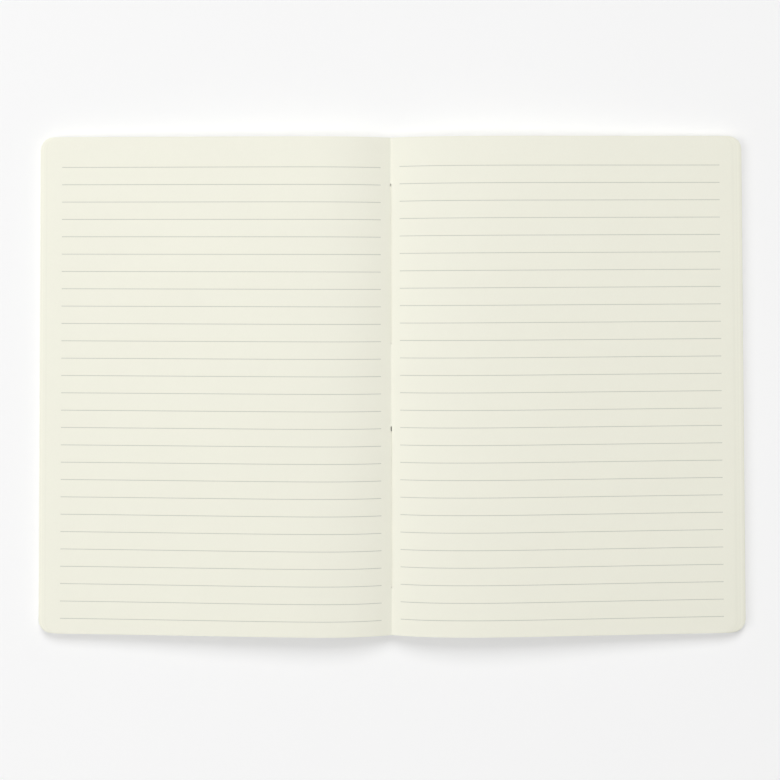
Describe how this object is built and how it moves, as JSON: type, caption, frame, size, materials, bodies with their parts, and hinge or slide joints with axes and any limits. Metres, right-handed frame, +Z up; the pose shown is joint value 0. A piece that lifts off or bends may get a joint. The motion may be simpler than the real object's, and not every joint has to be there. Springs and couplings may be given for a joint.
{
  "type": "open ruled notebook",
  "caption": "Thread-sewn softcover notebook lying open at its middle, with arched ruled pages, rounded corners and covers that swing on the spine creases.",
  "frame": {"origin": "on the table under the middle of the fold", "axes": "+X across the spread towards the right page's fore-edge, +Y up the page towards the head, +Z up from the table"},
  "size_m": [0.356, 0.25, 0.0126],
  "materials": {
    "paper": "matt cream writing paper",
    "rule_ink": "thin grey print on the paper",
    "thread": "twisted cream thread",
    "cover_card": "matt uncoated card"
  },
  "bodies": {
    "text_block": {"page_block": "paper", "ruled_lines": "rule_ink", "sewing_thread": "thread", "spine_strip": "cover_card"},
    "front_cover": {"front_cover": "cover_card"},
    "back_cover": {"back_cover": "cover_card"}
  },
  "joints": [
    {"name": "front_crease", "type": "hinge", "parent": "text_block", "child": "front_cover", "pos_m": [-0.00485, 0, 0], "axis": [0, -1, 0], "range_deg": [0, 90]},
    {"name": "back_crease", "type": "hinge", "parent": "text_block", "child": "back_cover", "pos_m": [0.00485, 0, 0], "axis": [0, 1, 0], "range_deg": [0, 90]}
  ]
}
